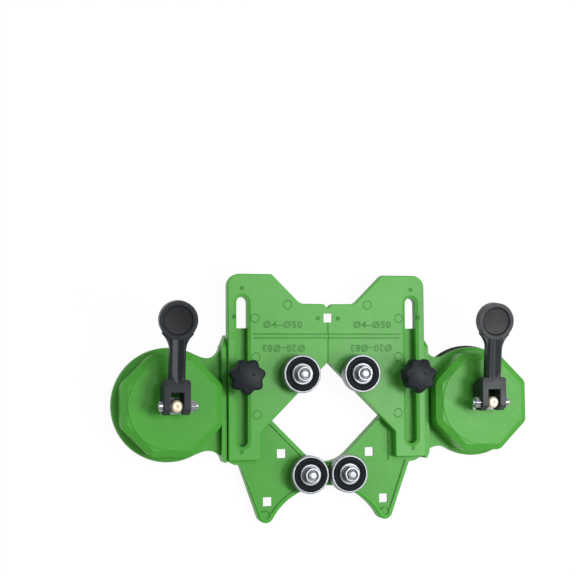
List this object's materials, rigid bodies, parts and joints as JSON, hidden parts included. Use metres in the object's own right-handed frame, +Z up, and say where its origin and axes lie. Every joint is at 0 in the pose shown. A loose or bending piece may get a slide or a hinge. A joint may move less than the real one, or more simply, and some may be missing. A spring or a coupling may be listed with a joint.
{
  "type": "drill guide",
  "caption": "Suction-mounted drill guide: lever-locked rubber cups hold a green base whose sliding plate and ball bearings centre a hole saw.",
  "frame": {"origin": "centre of the box on the work surface, midway between the two suction cups", "axes": "+X from the left cup to the right cup, +Y along the plate's slide towards the lever paddles, +Z up from the work surface"},
  "size_m": [0.252, 0.1445, 0.0486],
  "materials": {
    "base_plastic": "satin moulded plastic",
    "plate_plastic": "satin moulded plastic",
    "cup_rubber": "soft matt rubber",
    "lever_plastic": "fine-grained black plastic",
    "knob_plastic": "fine-grained black plastic",
    "post_steel": "turned and plated",
    "zinc_steel": "bright zinc plate",
    "bearing_steel": "ground and polished",
    "seal_rubber": "moulded rubber",
    "cage_steel": "pressed",
    "insert_brass": "machined"
  },
  "bodies": {
    "base_body": {"base": "base_plastic", "left_suction_cup": "cup_rubber", "left_wear_plate": "zinc_steel", "left_clamp_bolt": "zinc_steel", "left_clamp_washer": "zinc_steel", "right_suction_cup": "cup_rubber", "right_wear_plate": "zinc_steel", "right_clamp_bolt": "zinc_steel", "right_clamp_washer": "zinc_steel", "lower_left_inner_ring": "bearing_steel", "lower_left_bush": "zinc_steel", "lower_left_bolt": "zinc_steel", "lower_left_washer": "zinc_steel", "lower_left_nut": "zinc_steel", "lower_right_inner_ring": "bearing_steel", "lower_right_bush": "zinc_steel", "lower_right_bolt": "zinc_steel", "lower_right_washer": "zinc_steel", "lower_right_nut": "zinc_steel"},
    "plate_body": {"slide_plate": "plate_plastic", "upper_left_inner_ring": "bearing_steel", "upper_left_bush": "zinc_steel", "upper_left_bolt": "zinc_steel", "upper_left_washer": "zinc_steel", "upper_left_nut": "zinc_steel", "upper_right_inner_ring": "bearing_steel", "upper_right_bush": "zinc_steel", "upper_right_bolt": "zinc_steel", "upper_right_washer": "zinc_steel", "upper_right_nut": "zinc_steel"},
    "left_knob_body": {"left_knob": "knob_plastic", "left_knob_nut": "insert_brass"},
    "left_post_body": {"left_post": "post_steel"},
    "left_lever_body": {"left_lever": "lever_plastic", "left_lever_screw": "zinc_steel", "left_lever_nut": "zinc_steel"},
    "right_knob_body": {"right_knob": "knob_plastic", "right_knob_nut": "insert_brass"},
    "right_post_body": {"right_post": "post_steel"},
    "right_lever_body": {"right_lever": "lever_plastic", "right_lever_screw": "zinc_steel", "right_lever_nut": "zinc_steel"},
    "upper_left_rim_body": {"upper_left_outer_ring": "bearing_steel", "upper_left_seals": "seal_rubber"},
    "upper_left_cage_body": {"upper_left_balls": "bearing_steel", "upper_left_cage": "cage_steel"},
    "upper_right_rim_body": {"upper_right_outer_ring": "bearing_steel", "upper_right_seals": "seal_rubber"},
    "upper_right_cage_body": {"upper_right_balls": "bearing_steel", "upper_right_cage": "cage_steel"},
    "lower_left_rim_body": {"lower_left_outer_ring": "bearing_steel", "lower_left_seals": "seal_rubber"},
    "lower_left_cage_body": {"lower_left_balls": "bearing_steel", "lower_left_cage": "cage_steel"},
    "lower_right_rim_body": {"lower_right_outer_ring": "bearing_steel", "lower_right_seals": "seal_rubber"},
    "lower_right_cage_body": {"lower_right_balls": "bearing_steel", "lower_right_cage": "cage_steel"}
  },
  "joints": [
    {"name": "plate_slide", "type": "slide", "parent": "base_body", "child": "plate_body", "axis": [0, 1, 0], "range_m": [-0.037, 0.037]},
    {"name": "left_knob_turn", "type": "hinge", "parent": "base_body", "child": "left_knob_body", "pos_m": [-0.0514, 0.01275, 0.016], "axis": [0, 0, 1], "range_deg": [0, 1080]},
    {"name": "left_post_slide", "type": "slide", "parent": "base_body", "child": "left_post_body", "axis": [0, 0, 1], "range_m": [-0.00605, 0], "deforming": ["left_suction_cup"]},
    {"name": "left_lever_hinge", "type": "hinge", "parent": "left_post_body", "child": "left_lever_body", "pos_m": [-0.0932, -0.00315, 0.0377], "axis": [1, 0, 0], "range_deg": [0, 90]},
    {"name": "right_knob_turn", "type": "hinge", "parent": "base_body", "child": "right_knob_body", "pos_m": [0.0514, 0.01275, 0.016], "axis": [0, 0, 1], "range_deg": [0, 1080]},
    {"name": "right_post_slide", "type": "slide", "parent": "base_body", "child": "right_post_body", "axis": [0, 0, 1], "range_m": [-0.00605, 0], "deforming": ["right_suction_cup"]},
    {"name": "right_lever_hinge", "type": "hinge", "parent": "right_post_body", "child": "right_lever_body", "pos_m": [0.0932, -0.00315, 0.0377], "axis": [1, 0, 0], "range_deg": [0, 90]},
    {"name": "upper_left_bearing_spin", "type": "hinge", "parent": "plate_body", "child": "upper_left_rim_body", "pos_m": [-0.0181, 0.01405, 0.0223], "axis": [0, 0, 1], "continuous": true},
    {"name": "upper_left_cage_spin", "type": "hinge", "parent": "plate_body", "child": "upper_left_cage_body", "pos_m": [-0.0181, 0.01405, 0.0223], "axis": [0, 0, 1], "continuous": true},
    {"name": "upper_right_bearing_spin", "type": "hinge", "parent": "plate_body", "child": "upper_right_rim_body", "pos_m": [0.0181, 0.01405, 0.0223], "axis": [0, 0, 1], "continuous": true},
    {"name": "upper_right_cage_spin", "type": "hinge", "parent": "plate_body", "child": "upper_right_cage_body", "pos_m": [0.0181, 0.01405, 0.0223], "axis": [0, 0, 1], "continuous": true},
    {"name": "lower_left_bearing_spin", "type": "hinge", "parent": "base_body", "child": "lower_left_rim_body", "pos_m": [-0.0118, -0.04435, 0.0152], "axis": [0, 0, 1], "continuous": true},
    {"name": "lower_left_cage_spin", "type": "hinge", "parent": "base_body", "child": "lower_left_cage_body", "pos_m": [-0.0118, -0.04435, 0.0152], "axis": [0, 0, 1], "continuous": true},
    {"name": "lower_right_bearing_spin", "type": "hinge", "parent": "base_body", "child": "lower_right_rim_body", "pos_m": [0.0118, -0.04435, 0.0152], "axis": [0, 0, 1], "continuous": true},
    {"name": "lower_right_cage_spin", "type": "hinge", "parent": "base_body", "child": "lower_right_cage_body", "pos_m": [0.0118, -0.04435, 0.0152], "axis": [0, 0, 1], "continuous": true}
  ],
  "couplings": [
    {"joint": "left_post_slide", "follows": "left_lever_hinge", "m_per_rad": -0.0038452},
    {"joint": "right_post_slide", "follows": "right_lever_hinge", "m_per_rad": -0.0038452},
    {"joint": "upper_left_cage_spin", "follows": "upper_left_bearing_spin", "ratio": 0.6323},
    {"joint": "upper_right_cage_spin", "follows": "upper_right_bearing_spin", "ratio": 0.6323},
    {"joint": "lower_left_cage_spin", "follows": "lower_left_bearing_spin", "ratio": 0.6323},
    {"joint": "lower_right_cage_spin", "follows": "lower_right_bearing_spin", "ratio": 0.6323}
  ]
}
